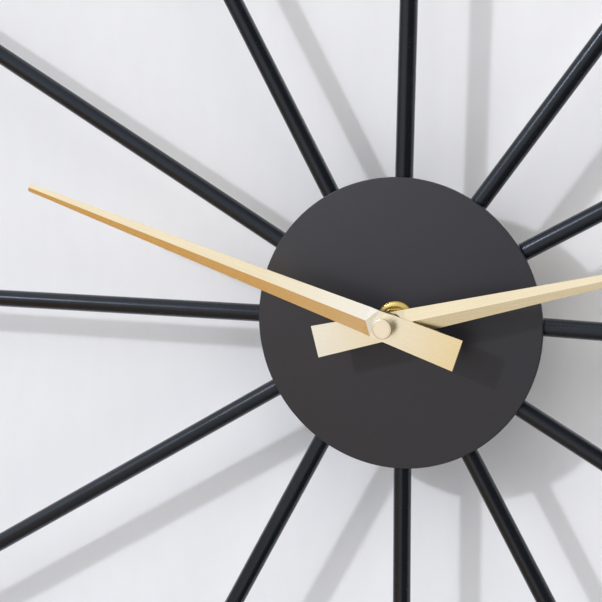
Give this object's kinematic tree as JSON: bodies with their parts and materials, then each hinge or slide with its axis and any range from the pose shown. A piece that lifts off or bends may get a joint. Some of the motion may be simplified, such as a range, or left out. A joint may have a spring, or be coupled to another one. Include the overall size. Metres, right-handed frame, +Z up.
{
  "type": "sunburst wall clock",
  "caption": "Wall clock with a flat dark disc, slim tubular rays all round it, two long tapered brass hands and a battery quartz movement behind.",
  "frame": {"origin": "on the axis of the hands, in the plane of the wall that the felt ring rests on", "axes": "+Z up with the clock hung upright, -Y out of the wall towards the viewer, +X to the viewer's right"},
  "size_m": [0.6, 0.0594, 0.6],
  "materials": {
    "disc_paint": "fine satin powder coat, charcoal",
    "ray_paint": "satin powder coat, near black",
    "cap_plastic": "matte moulded",
    "felt": "felted",
    "rubber": "matte",
    "brass": "turned, bright",
    "hand_brass": "finely brushed, pale champagne",
    "case_plastic": "fine spark texture",
    "white_plastic": "matte moulded",
    "gear_plastic": "smooth acetal",
    "screw_steel": "plated",
    "motor_steel": "rolled",
    "copper": "enamelled wire",
    "board": "solder mask",
    "chip_resin": "potting resin",
    "contact_metal": "nickel plated strip",
    "cell_wrap": "plain printed sleeve with no words",
    "magnet": "sintered"
  },
  "bodies": {
    "clock_frame": {"face_disc": "disc_paint", "ray_01": "ray_paint", "ray_02": "ray_paint", "ray_03": "ray_paint", "ray_04": "ray_paint", "ray_05": "ray_paint", "ray_06": "ray_paint", "ray_07": "ray_paint", "ray_08": "ray_paint", "ray_09": "ray_paint", "ray_10": "ray_paint", "ray_11": "ray_paint", "ray_12": "ray_paint", "ray_end_caps": "cap_plastic", "hub_ring": "ray_paint", "hanger_strap": "ray_paint", "wall_felt": "felt", "movement_gasket": "rubber", "brass_washer": "brass", "hex_nut": "brass", "threaded_bushing": "brass", "movement_case": "case_plastic", "rear_cover": "case_plastic", "cover_screws": "screw_steel", "gear_bridge": "white_plastic", "middle_plate": "white_plastic", "stator": "motor_steel", "coil_core": "motor_steel", "coil_bobbin": "white_plastic", "coil_winding": "copper", "circuit_board": "board", "quartz_crystal": "screw_steel", "driver_chip": "chip_resin", "positive_contact": "contact_metal", "negative_contact": "contact_metal"},
    "hour_hand_group": {"hour_wheel": "gear_plastic", "hour_hand": "hand_brass"},
    "minute_hand_group": {"minute_arbor": "brass", "minute_hand": "hand_brass", "cap_nut": "hand_brass"},
    "setting_group": {"minute_wheel": "gear_plastic", "setting_knob": "case_plastic"},
    "centre_wheel": {"centre_wheel": "gear_plastic"},
    "third_wheel": {"third_wheel": "gear_plastic"},
    "seconds_wheel": {"seconds_wheel": "gear_plastic"},
    "intermediate_wheel": {"intermediate_wheel": "gear_plastic"},
    "rotor": {"rotor_magnet": "magnet", "rotor_pinion": "gear_plastic"},
    "battery": {"aa_battery": "cell_wrap"}
  },
  "joints": [
    {"name": "minute_spin", "type": "hinge", "parent": "clock_frame", "child": "minute_hand_group", "pos_m": [0, -0.0544, 0], "axis": [0, 1, 0], "continuous": true},
    {"name": "hour_spin", "type": "hinge", "parent": "clock_frame", "child": "hour_hand_group", "pos_m": [0, -0.0512, 0], "axis": [0, 1, 0], "continuous": true},
    {"name": "setting_spin", "type": "hinge", "parent": "clock_frame", "child": "setting_group", "pos_m": [-0.01057, -0.0136, 0.0061], "axis": [0, 1, 0], "continuous": true},
    {"name": "centre_spin", "type": "hinge", "parent": "clock_frame", "child": "centre_wheel", "pos_m": [0, -0.0264, 0], "axis": [0, 1, 0], "continuous": true},
    {"name": "third_spin", "type": "hinge", "parent": "clock_frame", "child": "third_wheel", "pos_m": [0.00967, -0.0239, 0.00677], "axis": [0, 1, 0], "continuous": true},
    {"name": "seconds_spin", "type": "hinge", "parent": "clock_frame", "child": "seconds_wheel", "pos_m": [0, -0.0218, 0], "axis": [0, 1, 0], "continuous": true},
    {"name": "intermediate_spin", "type": "hinge", "parent": "clock_frame", "child": "intermediate_wheel", "pos_m": [-0.00188, -0.0204, 0.01064], "axis": [0, 1, 0], "continuous": true},
    {"name": "rotor_spin", "type": "hinge", "parent": "clock_frame", "child": "rotor", "pos_m": [-0.00427, -0.0227, 0.01721], "axis": [0, 1, 0], "continuous": true},
    {"name": "battery_slide", "type": "slide", "parent": "clock_frame", "child": "battery", "axis": [0, 1, 0], "range_m": [0, 0.03]}
  ],
  "couplings": [
    {"joint": "hour_spin", "follows": "minute_spin", "ratio": 0.083333},
    {"joint": "setting_spin", "follows": "minute_spin", "ratio": -0.33333},
    {"joint": "centre_spin", "follows": "minute_spin", "ratio": 1},
    {"joint": "third_spin", "follows": "minute_spin", "ratio": -8},
    {"joint": "seconds_spin", "follows": "minute_spin", "ratio": 60},
    {"joint": "intermediate_spin", "follows": "minute_spin", "ratio": -300},
    {"joint": "rotor_spin", "follows": "minute_spin", "ratio": 1800}
  ]
}
